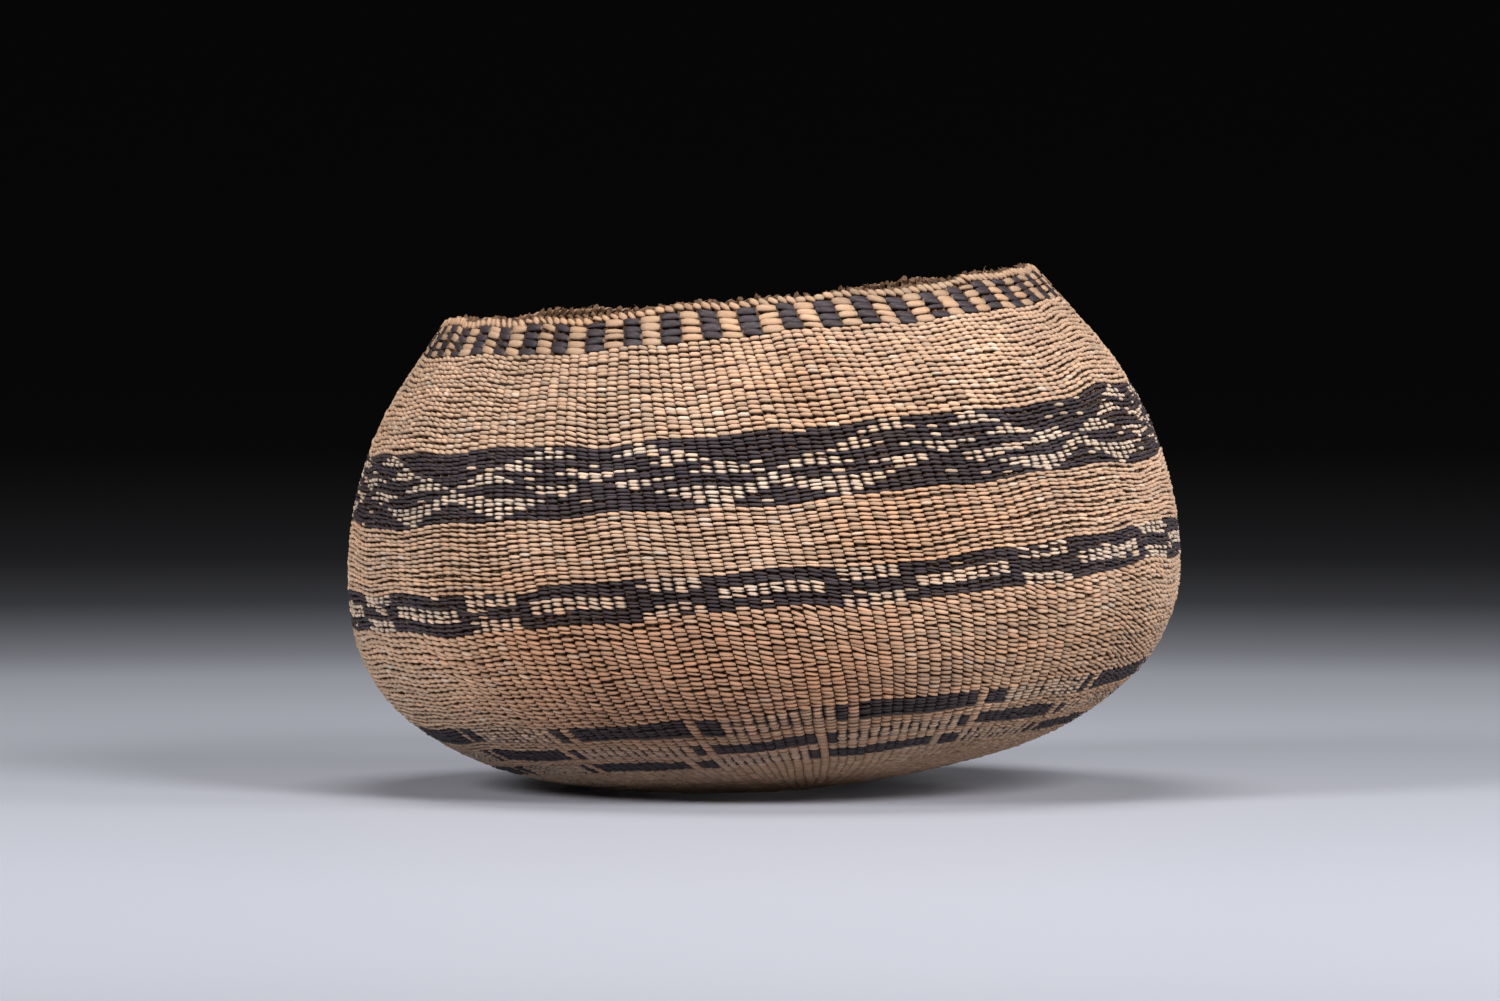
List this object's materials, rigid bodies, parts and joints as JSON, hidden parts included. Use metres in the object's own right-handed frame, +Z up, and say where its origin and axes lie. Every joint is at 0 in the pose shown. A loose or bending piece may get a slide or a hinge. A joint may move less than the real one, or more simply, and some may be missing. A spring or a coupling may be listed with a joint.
{
  "type": "storage basket",
  "caption": "Round-bottomed twined storage basket with a wide belly, figured bands and an open mouth with a checked rim.",
  "frame": {"origin": "on the surface the basket stands on, under the middle of its box", "axes": "+Z up, +X towards the high side of the rim, +Y away from the viewer of the figured front"},
  "size_m": [0.358, 0.358, 0.2264],
  "materials": {
    "plain_weft": "dry split root strands, matt with a faint polish on their crowns",
    "figured_weft": "dyed dark strands among pale ones, matt with a faint polish",
    "rim_weft": "broad heavy strands, dark and pale in turn, lightly polished",
    "warp": "peeled sticks, dull brown"
  },
  "bodies": {
    "root": {"base_wefts": "plain_weft", "base_wefts_inside": "plain_weft", "dash_band_wefts": "figured_weft", "lower_wall_wefts": "plain_weft", "lower_wall_wefts_inside": "plain_weft", "chain_band_wefts": "figured_weft", "middle_wall_wefts": "plain_weft", "triangle_band_wefts": "figured_weft", "shoulder_wefts": "plain_weft", "upper_wall_wefts_inside": "plain_weft", "rim_course_1": "rim_weft", "rim_course_2": "rim_weft", "rim_course_3": "rim_weft", "rim_course_4": "rim_weft", "rim_courses_inside": "rim_weft", "rim_top_course": "plain_weft", "rim_top_course_inside": "plain_weft", "start_knot": "plain_weft", "warps": "warp"}
  },
  "joints": []
}
